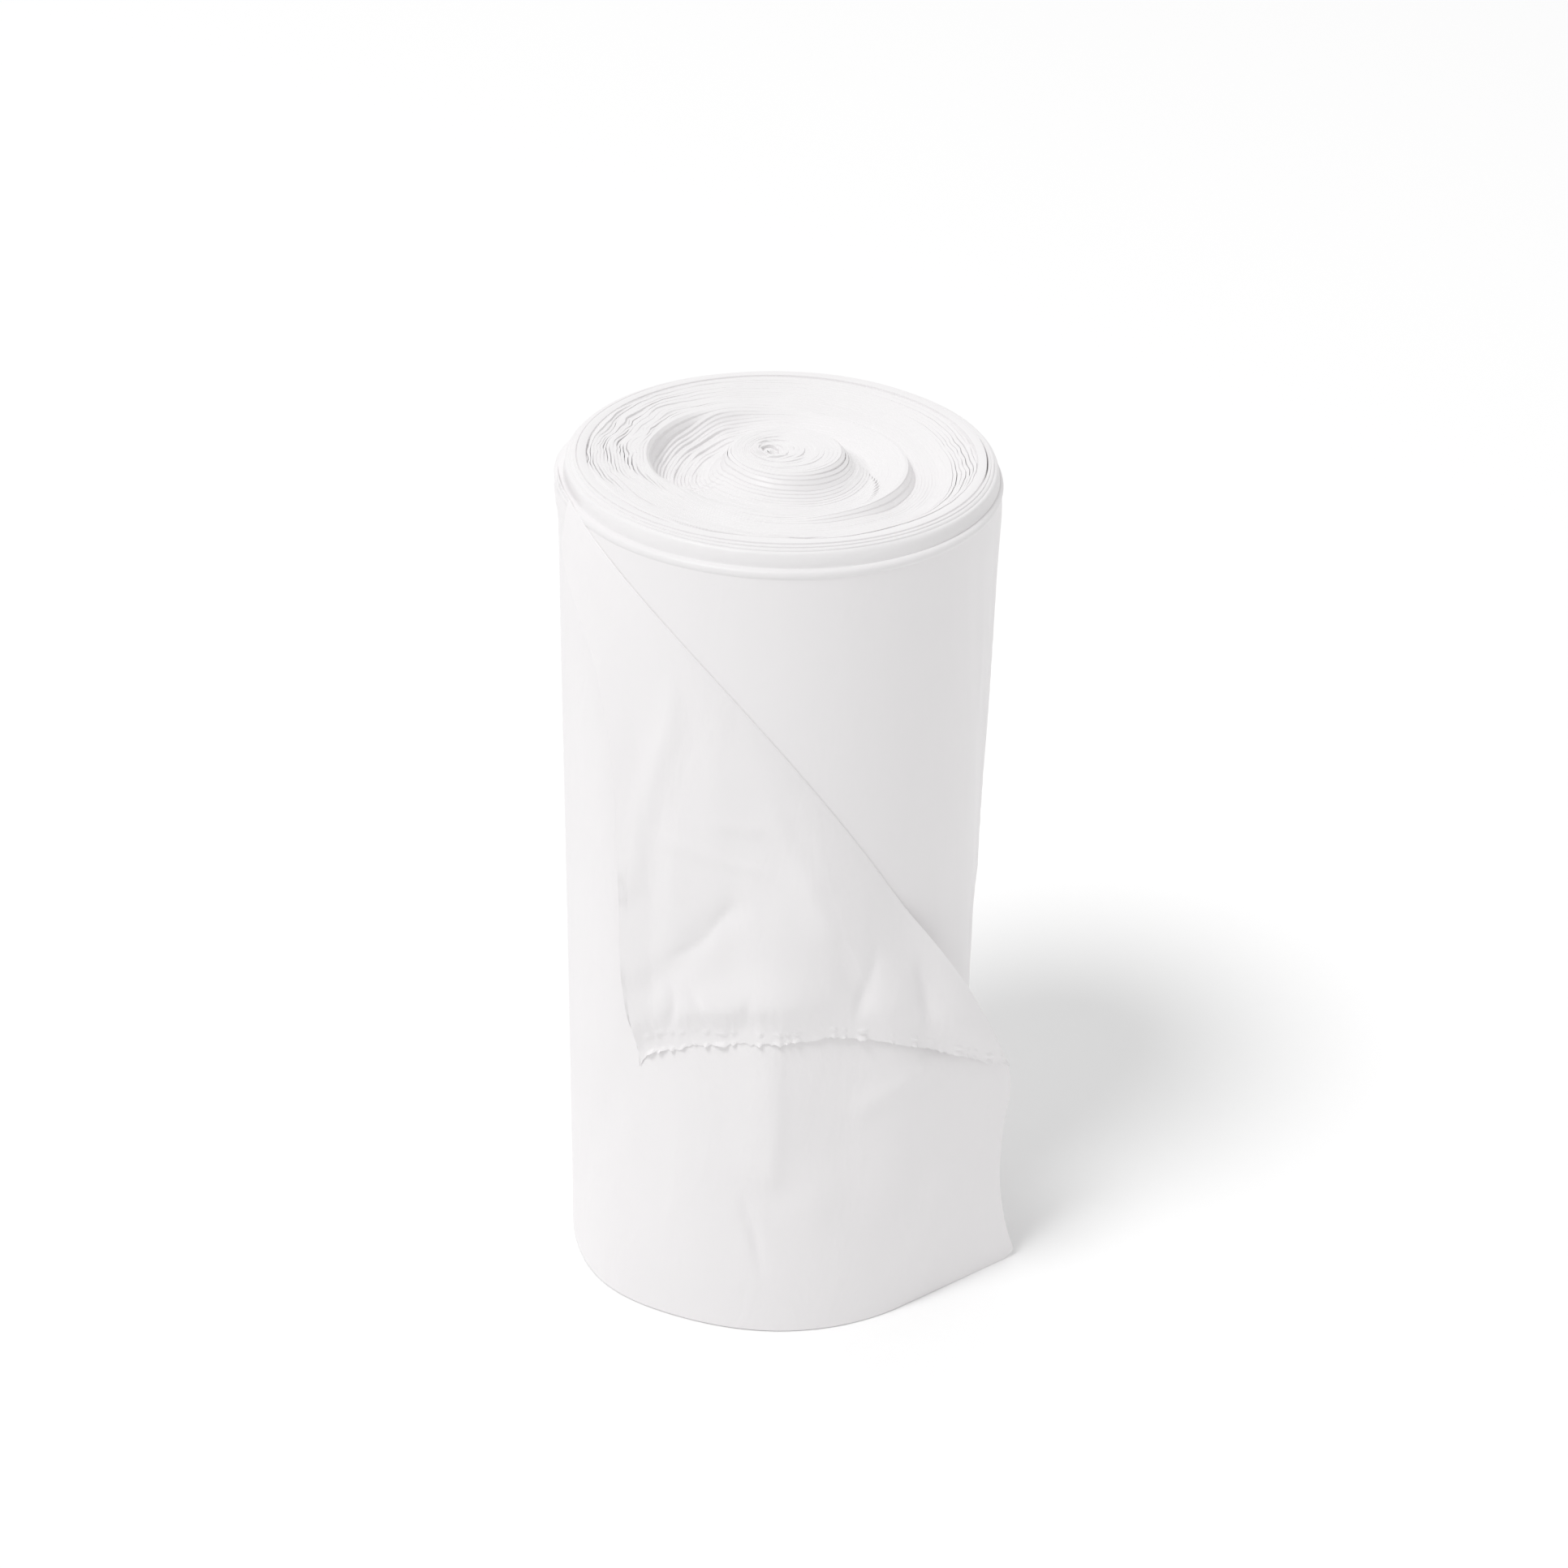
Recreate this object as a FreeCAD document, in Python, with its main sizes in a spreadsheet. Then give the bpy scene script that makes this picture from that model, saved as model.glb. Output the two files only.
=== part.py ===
import FreeCAD, Part
import math
import os
import Sketcher
from FreeCAD import Placement, Rotation, Vector

# A roll of bin bags: one long web of perforated bags, folded flat to a narrow band and wound on itself
# with no core. The roll stands on one end. Z is the roll's own axis and z = 0 is the surface that it
# stands on. The front, where the loose end shows, looks along -Y.

# Driving dimensions in millimetres and degrees: alias, value, meaning
SIZES = [
    ("roll_radius", 50.5, "radius of the tight wall of the roll"),
    ("roll_length", 209.6, "height of the rim, which is the width of the folded web"),
    ("foot_bevel", 0.9, "bevel of the wall's lower edge"),
    ("lip_level", 204.6, "height of the outermost full turn"),
    ("lip_step", 0.9, "how far the turns behind that edge stand in"),
    ("lip_bevel", 0.4, "bevel of the outermost turn's edge"),
    ("collar_level", 207.3, "height where the staggered shoulder starts"),
    ("shoulder_radius", 45.8, "outer radius of the level rim"),
    ("shoulder_plies", 3, "ply edges that show on the shoulder"),
    ("end_depth", 12.0, "depth below the rim to which the turns stand free"),
    ("turn_pitch", 3.0, "thickness of one bundle of turns that reads as a ring"),
    ("turn_relief", 0.35, "how far every second bundle stands lower"),
    ("eye_radius", 2.2, "radius of the hole that the winding leaves in the middle"),
    ("base_pitch", 13.0, "distance between the turns of the groove in the lower end"),
    ("base_relief", 0.5, "depth of that groove"),
    ("mound_radius", 13.5, "radius of the raised middle of the upper end"),
    ("mound_rise", 0.7, "height of the raised middle above the rim"),
    ("mound_foot_radius", 19.5, "radius where the raised middle meets the disc round it"),
    ("disc_radius", 30.0, "outer radius of the disc round the raised middle"),
    ("rim_inner_radius", 41.5, "inner radius of the level rim"),
    ("trough_front", 4.6, "drop from the rim to the foot of the raised middle, at the front"),
    ("trough_right", 5.0, "the same on the right"),
    ("trough_back", 4.8, "the same at the back"),
    ("trough_left", 8.0, "the same on the left"),
    ("disc_front", 2.4, "drop from the rim to the edge of the disc, at the front"),
    ("disc_right", 2.1, "the same on the right"),
    ("disc_back", 2.0, "the same at the back"),
    ("disc_left", 0.9, "the same on the left"),
    ("ring_front", 5.2, "drop from the rim to the ring outside the disc, at the front"),
    ("ring_right", 5.8, "the same on the right"),
    ("ring_back", 2.4, "the same at the back"),
    ("ring_left", 0.5, "the same on the left"),
    ("film", 0.6, "thickness of the folded web as it lies loose, with the air between its plies"),
    ("wrap_radius", 53.9, "radius of the loose last turn's outer face"),
    ("wrap_start", 171.0, "direction in which the last turn leaves the roll"),
    ("wrap_tuck", 0.25, "depth of its outer face below the wall at that place"),
    ("wing_angle", 36.5, "angle of the straight wing to the X axis"),
    ("wing_length", 36.0, "length of the straight wing along the base"),
    ("foot_round", 2.2, "rounding of the wing's lower corner"),
    ("edge_radius", 100.0, "radius of the hollow in the wing's upright edge"),
    ("hip_x", 59.9, "where that hollow ends and the bulge below the fold starts, across"),
    ("hip_z", 46.5, "height of that place"),
    ("bulge_radius", 32.0, "radius of the bulge"),
    ("knuckle_x", 58.4, "where the bulge runs into the fold, across"),
    ("knuckle_z", 63.0, "height of that place"),
    ("fold_start_x", -46.4, "where the fold starts under the shoulder, across"),
    ("fold_start_z", 206.0, "height of that place"),
    ("fold_radius", 312.0, "radius of the long curve of the fold, seen from the front"),
    ("fold_round", 0.6, "rounding of the fold's outer edge, where the web turns over"),
    ("flap_top_x", -46.9, "upper end of the flap's side edge, across"),
    ("flap_top_z", 194.0, "height of that end"),
    ("flap_bend_x", -37.4, "where the flap's side edge turns upright, across"),
    ("flap_bend_z", 158.0, "height of that place"),
    ("flap_bend_radius", 92.0, "radius of that turn"),
    ("tear_left_x", -29.4, "left end of the torn edge, across"),
    ("tear_left_z", 71.0, "height of that end"),
    ("tear_right_x", 62.0, "where the tear has run out past the wing, across"),
    ("tear_right_z", 56.8, "height of that place"),
    ("tear_radius", 65.0, "radius of the torn edge's arch, seen from the front"),
    ("tooth_pitch", 3.3, "distance between the perforations"),
    ("tooth_depth", 1.3, "height of the torn teeth"),
    ("margin", 10.0, "how far the cutting outlines stand clear of the roll"),
]

doc = FreeCAD.newDocument("bin_bag_roll")
sheet = doc.addObject("Spreadsheet::Sheet", "Sizes")
for row, (alias, value, meaning) in enumerate(SIZES, start=1):
    sheet.set("A%d" % row, alias)
    sheet.set("B%d" % row, str(value))
    sheet.set("C%d" % row, meaning)
    sheet.setAlias("B%d" % row, alias)
doc.recompute()


def size(alias):
    """The value of one cell, for shapes that are worked out here."""
    return float(sheet.get(alias))


class Term:
    """A length that knows both its value and its expression on the sheet."""

    def __init__(self, value, text):
        self.value = value
        self.text = text

    def __add__(self, other):
        return Term(self.value + other.value, "(%s + %s)" % (self.text, other.text))

    def __sub__(self, other):
        return Term(self.value - other.value, "(%s - %s)" % (self.text, other.text))

    def __mul__(self, share):
        return Term(self.value * share, "(%s * %s)" % (self.text, share))


def cell(alias):
    """The Term of one cell."""
    return Term(size(alias), "Sizes." + alias)


ZERO = Term(0.0, "0")


def add(kind, label):
    """A new object of the document with a label of its own."""
    item = doc.addObject(kind, label)
    item.Label = label
    return item


def bind(item, **expressions):
    """Bind properties of an object to the sheet: double underscores stand for dots."""
    for name, expression in expressions.items():
        item.setExpression(name.replace("__", "."), expression)


def join(kind, label, pieces):
    """A boolean of several pieces."""
    item = add(kind, label)
    item.Shapes = pieces
    item.Refine = False
    return item


def cut(label, base, tool):
    """The base with the tool taken out of it."""
    item = add("Part::Cut", label)
    item.Base = base
    item.Tool = tool
    return item


def arc_centre(start, stop, radius, left):
    """Centre of the arc from start to stop that turns left or right with a radius."""
    chord = stop - start
    middle = (start + stop) * 0.5
    rise = math.sqrt(radius ** 2 - (chord.Length / 2) ** 2)
    side = Vector(-chord.y, chord.x, 0).normalize()
    return middle + side * (rise if left else -rise)


def add_arc(sketch, start, stop, radius, left):
    """An arc in a sketch, with the numbers of its points at start and stop."""
    centre = arc_centre(start, stop, radius, left)
    first = math.atan2(start.y - centre.y, start.x - centre.x)
    last = math.atan2(stop.y - centre.y, stop.x - centre.x)
    circle = Part.Circle(centre, Vector(0, 0, 1), radius)
    if left:
        return sketch.addGeometry(Part.ArcOfCircle(circle, first, last), False), 1, 2
    return sketch.addGeometry(Part.ArcOfCircle(circle, last, first), False), 2, 1


def outline(label, corners, bows):
    """Closed outline seen from the front. Each corner is a pair of Terms, across and in height. bows
    gives, for the number of a corner, the cell with the radius of the arc to the next corner and
    whether it turns left. Without one the edge is straight."""
    sketch = add("Sketcher::SketchObject", label)
    sketch.Placement = Placement(Vector(0, 0, 0), Rotation(Vector(1, 0, 0), 90))
    ends = []
    for i, (across, height) in enumerate(corners):
        start = Vector(across.value, height.value, 0)
        following = corners[(i + 1) % len(corners)]
        stop = Vector(following[0].value, following[1].value, 0)
        if i in bows:
            radius, left = bows[i]
            ends.append(add_arc(sketch, start, stop, size(radius), left))
        else:
            ends.append((sketch.addGeometry(Part.LineSegment(start, stop), False), 1, 2))
    for i, (across, height) in enumerate(corners):
        edge, begin, _ = ends[i]
        before, _, end = ends[i - 1]
        sketch.addConstraint(Sketcher.Constraint("Coincident", before, end, edge, begin))
        for kind, term in (("DistanceX", across), ("DistanceY", height)):
            number = sketch.addConstraint(Sketcher.Constraint(kind, -1, 1, edge, begin, term.value))
            sketch.setExpression("Constraints[%d]" % number, term.text)
        if i in bows:
            radius, _ = bows[i]
            number = sketch.addConstraint(Sketcher.Constraint("Radius", edge, size(radius)))
            sketch.setExpression("Constraints[%d]" % number, "Sizes." + radius)
    return sketch


# The drum: the tight turns as one round, with the lip of the outermost turn, the shoulder of staggered
# ply edges above it, and a recess in the upper end that the free-standing turns fill
wall = cell("roll_radius")
collar = wall - cell("lip_step")
rim = cell("roll_length")
drum_corners = [
    (ZERO, ZERO),
    (wall - cell("foot_bevel"), ZERO),
    (wall, cell("foot_bevel")),
    (wall, cell("lip_level") - cell("lip_bevel")),
    (wall - cell("lip_bevel"), cell("lip_level")),
    (collar, cell("lip_level")),
    (collar, cell("collar_level")),
]
plies = int(size("shoulder_plies"))
for ply in range(1, plies + 1):
    inner_edge = collar - (collar - cell("shoulder_radius")) * (ply / plies)
    climb = rim - cell("collar_level")
    drum_corners.append((inner_edge, cell("collar_level") + climb * ((ply - 0.5) / plies)))
    drum_corners.append((inner_edge, cell("collar_level") + climb * (ply / plies)))
drum_corners.append((cell("shoulder_radius") - cell("turn_pitch"), rim))
drum_corners.append((cell("shoulder_radius") - cell("turn_pitch"), rim - cell("end_depth")))
drum_corners.append((ZERO, rim - cell("end_depth")))
drum_outline = outline("drum_outline", drum_corners, {})
drum = add("Part::Revolution", "drum")
drum.Source = drum_outline
drum.Axis = Vector(0, 0, 1)
drum.Angle = 360
drum.Solid = True


def half_turns(largest, pitch):
    """Half rings of a spiral with two centres, from the largest radius inwards: the number of the
    turn, its side, its centre and its outer radius. Each half runs on into the next."""
    shift = pitch / 4
    turn = 0
    while largest - pitch * (turn + 1) > size("eye_radius"):
        outer = largest - pitch * turn
        yield turn, "front", Vector(shift, 0, 0), outer
        yield turn, "back", Vector(-shift, 0, 0), outer - 2 * shift
        turn += 1


def half_ring(side, centre, outer, inner, height):
    """Half a ring on the front or the back of a centre, as a block of a height."""
    facing = -1 if side == "front" else 1
    edges = []
    for radius in (outer, inner):
        left = centre + Vector(-radius, 0, 0)
        right = centre + Vector(radius, 0, 0)
        middle = centre + Vector(0, facing * radius, 0)
        edges.append(Part.Arc(left, middle, right).toShape())
    for way in (-1, 1):
        far = centre + Vector(way * outer, 0, 0)
        near = centre + Vector(way * inner, 0, 0)
        edges.append(Part.LineSegment(far, near).toShape())
    face = Part.Face(Part.Wire(Part.__sortEdges__(edges)))
    return face.extrude(Vector(0, 0, height))


def end_level(side, radius):
    """Height of the upper end on one side of the axis, at a distance from it."""
    stations = [
        (0, size("mound_rise")),
        (size("mound_radius"), size("mound_rise")),
        (size("mound_foot_radius"), -size("trough_" + side)),
        (size("disc_radius"), -size("disc_" + side)),
        (size("disc_radius") + size("turn_pitch") / 2, -size("ring_" + side)),
        (size("rim_inner_radius"), 0),
    ]
    for (near, low), (far, high) in zip(stations, stations[1:]):
        if radius <= far:
            return size("roll_length") + low + (high - low) * (radius - near) / (far - near)
    return size("roll_length")


def space_above(side, centre, outer, lowered):
    """A block whose underside is the sloping top of one half turn. The slope joins the levels on the
    left and right, which the half turns on both sides share, and the level in the middle of its own
    side, which may be lowered."""
    facing = -1 if side == "front" else 1
    inward = size("turn_pitch") / 2
    left = end_level("left", outer - centre.x - inward)
    right = end_level("right", outer + centre.x - inward)
    own = end_level(side, outer - inward) - lowered
    slope_across = (right - left) / (2 * outer)
    slope_inward = facing * (own - (left + right) / 2) / outer
    reach = 4 * size("roll_radius")
    block = Part.makeBox(reach, reach, reach, Vector(-reach / 2, -reach / 2, 0))
    upright = Vector(-slope_across, -slope_inward, 1)
    middle = centre + Vector(0, 0, (left + right) / 2)
    block.Placement = Placement(middle, Rotation(Vector(0, 0, 1), upright))
    return block


# The free-standing turns of the upper end, each half turn with its own sloping top
pitch = size("turn_pitch")
floor_level = size("roll_length") - size("end_depth")
stack_height = size("end_depth") + size("mound_rise") + size("margin")
free_pieces = []
for turn, side, centre, outer in half_turns(size("shoulder_radius") - pitch / 2, pitch):
    block = half_ring(side, centre, outer, outer - pitch, stack_height)
    block.translate(Vector(0, 0, floor_level))
    lowered = size("turn_relief") * (turn % 2)
    free_pieces.append(block.cut(space_above(side, centre, outer, lowered)))
free_turns = add("Part::Feature", "free_turns")
free_turns.Shape = free_pieces[0].fuse(free_pieces[1:])

# The lower end: a spiral groove, where some of the turns stand in a little
grooves = []
for turn, side, centre, outer in half_turns(size("shoulder_radius"), size("base_pitch")):
    grooves.append(half_ring(side, centre, outer, outer - pitch, size("base_relief")))
base_groove = add("Part::Feature", "base_groove")
base_groove.Shape = grooves[0].fuse(grooves[1:])
tight_turns = cut("tight_turns", drum, base_groove)


# The loose web leaves the roll's wall along it, so the centre of its arc lies opposite that place
wrap_shift = "(Sizes.wrap_radius - Sizes.roll_radius + Sizes.wrap_tuck)"
wrap_shift_now = size("wrap_radius") - size("roll_radius") + size("wrap_tuck")
start_turn = math.radians(size("wrap_start"))
wing_turn = math.radians(size("wing_angle"))
wrap_x = Term(-wrap_shift_now * math.cos(start_turn), "(0 - %s * cos(Sizes.wrap_start))" % wrap_shift)
wrap_y = Term(-wrap_shift_now * math.sin(start_turn), "(0 - %s * sin(Sizes.wrap_start))" % wrap_shift)


def web_layer(label, layer):
    """One layer of the loose web at full height: an arc that runs out of the roll round the front, and
    a straight wing that leaves it. Layer 0 is the web itself, layer 1 is the flap outside it."""
    face = "(Sizes.wrap_radius + %d * Sizes.film)" % layer
    centre = {"Placement__Base__x": wrap_x.text, "Placement__Base__y": wrap_y.text}
    sector = add("Part::Cylinder", label + "_sector")
    sector.Placement = Placement(Vector(0, 0, 0), Rotation(Vector(0, 0, 1), size("wrap_start")))
    bind(sector, Radius=face, Height="Sizes.lip_level", Angle="270 + Sizes.wing_angle - Sizes.wrap_start")
    bind(sector, Placement__Rotation__Angle="Sizes.wrap_start", **centre)
    inside = add("Part::Cylinder", label + "_inside")
    bind(inside, Radius=face + " - Sizes.film", Height="Sizes.lip_level", **centre)
    wing = add("Part::Box", label + "_wing")
    wing.Placement = Placement(Vector(0, 0, 0), Rotation(Vector(0, 0, 1), size("wing_angle")))
    bind(wing, Length="Sizes.wing_length", Width="Sizes.film", Height="Sizes.lip_level")
    bind(wing, Placement__Rotation__Angle="Sizes.wing_angle")
    bind(wing, Placement__Base__x="%s + %s * sin(Sizes.wing_angle)" % (wrap_x.text, face))
    bind(wing, Placement__Base__y="%s - %s * cos(Sizes.wing_angle)" % (wrap_y.text, face))
    arc = cut(label + "_arc", sector, inside)
    return join("Part::MultiFuse", label, [arc, wing])


def front_prism(label, source):
    """An outline seen from the front, drawn out in depth through the loose web."""
    prism = add("Part::Extrusion", label)
    prism.Base = source
    prism.DirMode = "Custom"
    prism.Dir = Vector(0, -1, 0)
    prism.Solid = True
    bind(prism, LengthFwd="Sizes.wrap_radius + Sizes.margin", LengthRev="2 * Sizes.margin")
    return prism


# The loose web, below the long fold that turns its upper corner down across the front
under = Term(-size("margin"), "(0 - Sizes.margin)")
outside = Term(-size("wrap_radius"), "(0 - Sizes.wrap_radius)") - cell("margin")
wing_end = wrap_x
wing_end += Term(size("wrap_radius") * math.sin(wing_turn), "(Sizes.wrap_radius * sin(Sizes.wing_angle))")
wing_end += Term(size("wing_length") * math.cos(wing_turn), "(Sizes.wing_length * cos(Sizes.wing_angle))")
web_corners = [
    (outside, under),
    (wing_end - cell("foot_round"), under),
    (wing_end - cell("foot_round"), ZERO),
    (wing_end, cell("foot_round")),
    (cell("hip_x"), cell("hip_z")),
    (cell("knuckle_x"), cell("knuckle_z")),
    (cell("fold_start_x"), cell("fold_start_z")),
    (outside, cell("fold_start_z")),
]
web_bows = {
    2: ("foot_round", True),
    3: ("edge_radius", False),
    4: ("bulge_radius", True),
    5: ("fold_radius", True),
}
web_outline = outline("web_outline", web_corners, web_bows)
web_cutter = front_prism("web_cutter", web_outline)
loose_web = join("Part::MultiCommon", "loose_web", [web_layer("web_layer", 0), web_cutter])


def torn_edge(start, stop, radius):
    """The arched edge torn along the perforations, as the points of a row of teeth."""
    centre = arc_centre(start, stop, radius, False)
    first = math.atan2(start.y - centre.y, start.x - centre.x)
    last = math.atan2(stop.y - centre.y, stop.x - centre.x)
    teeth = max(1, round((first - last) * radius / size("tooth_pitch")))
    points = [start]
    for tooth in range(teeth):
        for share, depth in ((0.5, size("tooth_depth")), (1.0, 0.0)):
            angle = first + (last - first) * (tooth + share) / teeth
            points.append(centre + Vector(math.cos(angle), math.sin(angle), 0) * (radius - depth))
    return points


def spot(across, height):
    """A place of the front view from two cells."""
    return Vector(size(across), size(height), 0)


# The flap: the corner of the web that is folded over. Its side edge is on the left, its torn and
# perforated edge is at its foot, and elsewhere it ends where the web does, at the fold
tear_left = spot("tear_left_x", "tear_left_z")
tear_right = spot("tear_right_x", "tear_right_z")
flap_top = spot("flap_top_x", "flap_top_z")
flap_bend = spot("flap_bend_x", "flap_bend_z")
above = size("fold_start_z") + size("margin")
beyond = wing_end.value + size("margin")
flap_points = torn_edge(tear_left, tear_right, size("tear_radius"))
flap_points.append(Vector(beyond, tear_right.y, 0))
flap_points.append(Vector(beyond, above, 0))
flap_points.append(Vector(flap_top.x, above, 0))
flap_points.append(flap_top)
flap_edges = [Part.LineSegment(near, far).toShape() for near, far in zip(flap_points, flap_points[1:])]
bend_centre = arc_centre(flap_top, flap_bend, size("flap_bend_radius"), False)
bend_way = ((flap_top + flap_bend) * 0.5 - bend_centre).normalize()
bend_middle = bend_centre + bend_way * size("flap_bend_radius")
flap_edges.append(Part.Arc(flap_top, bend_middle, flap_bend).toShape())
flap_edges.append(Part.LineSegment(flap_bend, tear_left).toShape())
flap_outline = add("Part::Feature", "flap_outline")
flap_outline.Shape = Part.Face(Part.Wire(flap_edges))
flap_outline.Placement = Placement(Vector(0, 0, 0), Rotation(Vector(1, 0, 0), 90))
flap_cutter = front_prism("flap_cutter", flap_outline)
flap = join("Part::MultiCommon", "flap", [web_layer("flap_layer", 1), flap_cutter, web_cutter])
loose_end = join("Part::MultiFuse", "loose_end", [loose_web, flap])
loose_end.Refine = True
doc.recompute()


def web_reach(point):
    """How far a point of the loose end lies outward: from the centre of its arc, or of its wing."""
    across = Vector(point.x - wrap_x.value, point.y - wrap_y.value, 0)
    if across.dot(Vector(math.cos(wing_turn), math.sin(wing_turn), 0)) < 0:
        return across.Length
    return across.dot(Vector(math.sin(wing_turn), -math.cos(wing_turn), 0))


def on_fold(edge, reach):
    """Whether an edge of the loose end runs along the fold, on the face that lies so far outward."""
    knuckle = spot("knuckle_x", "knuckle_z")
    centre = arc_centre(knuckle, spot("fold_start_x", "fold_start_z"), size("fold_radius"), True)
    first, last = edge.ParameterRange
    for share in (0.1, 0.5, 0.9):
        point = edge.valueAt(first + (last - first) * share)
        away = math.hypot(point.x - centre.x, point.z - centre.y)
        if abs(away - size("fold_radius")) > 0.01 or abs(web_reach(point) - reach) > 0.01:
            return False
    return True


# The fold is round on the outside, where the web turns over
folded_end = add("Part::Fillet", "folded_end")
folded_end.Base = loose_end
crest = size("wrap_radius") + size("film")
crest_edges = [n for n, edge in enumerate(loose_end.Shape.Edges, start=1) if on_fold(edge, crest)]
folded_end.Edges = [(number, size("fold_round"), size("fold_round")) for number in crest_edges]

# The roll is one solid: the tight turns, the turns that stand free at the upper end and the loose end
wound_turns = join("Part::MultiFuse", "wound_turns", [tight_turns, free_turns])
roll = join("Part::MultiFuse", "bag_roll", [wound_turns, folded_end])
doc.recompute()

for item in doc.Objects:
    if "Invalid" in item.State or "Error" in item.State:
        raise RuntimeError("%s failed: %s" % (item.Label, item.State))
for node in (roll,):
    if node.Shape.isNull() or not node.Shape.isValid():
        raise RuntimeError(node.Label + " has no valid shape")
    print(node.Label, len(node.Shape.Solids), node.Shape.Volume, node.Shape.BoundBox)

os.makedirs("parts", exist_ok=True)
roll.Shape.exportStep("parts/%s.step" % roll.Label)
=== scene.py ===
import math

import bmesh
import bpy
import numpy as np
from mathutils import Matrix, Vector


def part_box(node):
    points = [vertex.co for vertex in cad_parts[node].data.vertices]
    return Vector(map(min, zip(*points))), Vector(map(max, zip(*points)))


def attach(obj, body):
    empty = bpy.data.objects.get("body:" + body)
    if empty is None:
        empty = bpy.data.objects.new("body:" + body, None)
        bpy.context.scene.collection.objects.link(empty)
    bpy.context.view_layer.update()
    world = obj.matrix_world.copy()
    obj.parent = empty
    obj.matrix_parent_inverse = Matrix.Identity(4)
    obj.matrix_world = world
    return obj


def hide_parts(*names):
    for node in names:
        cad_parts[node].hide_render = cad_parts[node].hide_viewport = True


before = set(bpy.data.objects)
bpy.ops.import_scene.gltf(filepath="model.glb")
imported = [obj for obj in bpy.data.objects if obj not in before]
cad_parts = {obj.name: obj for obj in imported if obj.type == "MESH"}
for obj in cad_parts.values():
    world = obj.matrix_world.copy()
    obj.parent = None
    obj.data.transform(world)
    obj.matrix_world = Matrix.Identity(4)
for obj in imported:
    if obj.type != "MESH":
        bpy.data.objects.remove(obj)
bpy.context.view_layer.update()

# Camera: a long lens in front of the roll, raised so that it looks down on the upper end.
MM = 0.001
camera_place = Vector((0.0, -650.0, 506.8)) * MM
pitch_down = math.radians(30.56)
yaw_right = math.radians(0.25)
roll_over = math.radians(1.85)
forward = Vector((math.sin(yaw_right) * math.cos(pitch_down),
                  math.cos(yaw_right) * math.cos(pitch_down),
                  -math.sin(pitch_down)))
level_right = Vector((math.cos(yaw_right), -math.sin(yaw_right), 0.0))
level_up = level_right.cross(forward)
right = level_right * math.cos(roll_over) + level_up * math.sin(roll_over)
up = level_up * math.cos(roll_over) - level_right * math.sin(roll_over)
camera = bpy.data.objects.new("camera", bpy.data.cameras.new("camera"))
camera.data.sensor_width = 36.0
camera.data.lens = 72.48
camera.data.clip_start = 0.01
turned = Matrix((right, up, -forward)).transposed().to_4x4()
camera.matrix_world = Matrix.Translation(camera_place) @ turned
bpy.context.collection.objects.link(camera)
bpy.context.scene.camera = camera


# Tight wall of the roll: the outermost full turn of the folded web of thin white film, wound tight on
# the turns inside it. It closes below with the lower end, where the turns' edges stand nearly level.
class Value:
    """A socket of a material, so that its maths is written as plain expressions."""

    def __init__(self, finish, socket):
        self.finish = finish
        self.socket = socket

    def maths(self, operation, first, second):
        sockets = {0: first, 1: second}
        return self.finish.node("ShaderNodeMath", {"operation": operation}, sockets)["Value"]

    def __radd__(self, other):
        return self.maths("ADD", other, self)

    def __mul__(self, other):
        return self.maths("MULTIPLY", self, other)


class Outputs:
    """The output sockets of a node, by name."""

    def __init__(self, finish, node):
        self.finish = finish
        self.outputs = node.outputs

    def __getitem__(self, name):
        return Value(self.finish, self.outputs[name])


class Finish:
    """The look of a material or of the room, put together from nodes."""

    def __init__(self, owner):
        owner.use_nodes = True
        self.tree = owner.node_tree
        self.tree.nodes.clear()

    def node(self, kind, settings, sockets):
        node = self.tree.nodes.new(kind)
        for name, setting in settings.items():
            setattr(node, name, setting)
        for name, given in sockets.items():
            if isinstance(given, Value):
                self.tree.links.new(given.socket, node.inputs[name])
            else:
                node.inputs[name].default_value = given
        return Outputs(self, node)


def film_finish(name, colour, wrinkle_scale, wrinkle_height):
    """Thin white film, soft in its gloss, with fine wrinkles."""
    material = bpy.data.materials.new(name)
    film = Finish(material)
    place = film.node("ShaderNodeTexCoord", {}, {})["Object"]
    stretched = film.node("ShaderNodeMapping", {}, {"Vector": place, "Scale": wrinkle_scale})["Vector"]
    fine = film.node("ShaderNodeTexNoise", {}, {"Vector": stretched, "Scale": 1.0, "Detail": 4.0,
                                                "Roughness": 0.55, "Distortion": 0.6})["Fac"]
    patches = film.node("ShaderNodeTexNoise", {}, {"Vector": place, "Scale": 45.0, "Detail": 2.0})["Fac"]
    bump = film.node("ShaderNodeBump", {}, {"Height": fine, "Strength": 1.0,
                                            "Distance": wrinkle_height})["Normal"]
    surface = film.node("ShaderNodeBsdfPrincipled", {}, {
        "Base Color": (*colour, 1.0),
        "Roughness": 0.36 + patches * 0.16,
        "Specular IOR Level": 0.45,
        "Normal": bump,
    })["BSDF"]
    film.node("ShaderNodeOutputMaterial", {}, {"Surface": surface})
    return material


def noise(across, along, seed, period=0):
    """Smooth random heights from -1 to 1 over a plane. With a period they repeat along it."""
    cells = 256
    table = np.random.default_rng(seed).uniform(-1.0, 1.0, (cells, cells))
    column, row = np.floor(across).astype(int), np.floor(along).astype(int)
    part_x, part_y = across - column, along - row
    part_x = part_x * part_x * (3 - 2 * part_x)
    part_y = part_y * part_y * (3 - 2 * part_y)

    def corner(i, j):
        return table[(column + i) % cells, (row + j) % (period or cells)]

    low = corner(0, 0) * (1 - part_x) + corner(1, 0) * part_x
    high = corner(0, 1) * (1 - part_x) + corner(1, 1) * part_x
    return low * (1 - part_y) + high * part_y


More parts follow.
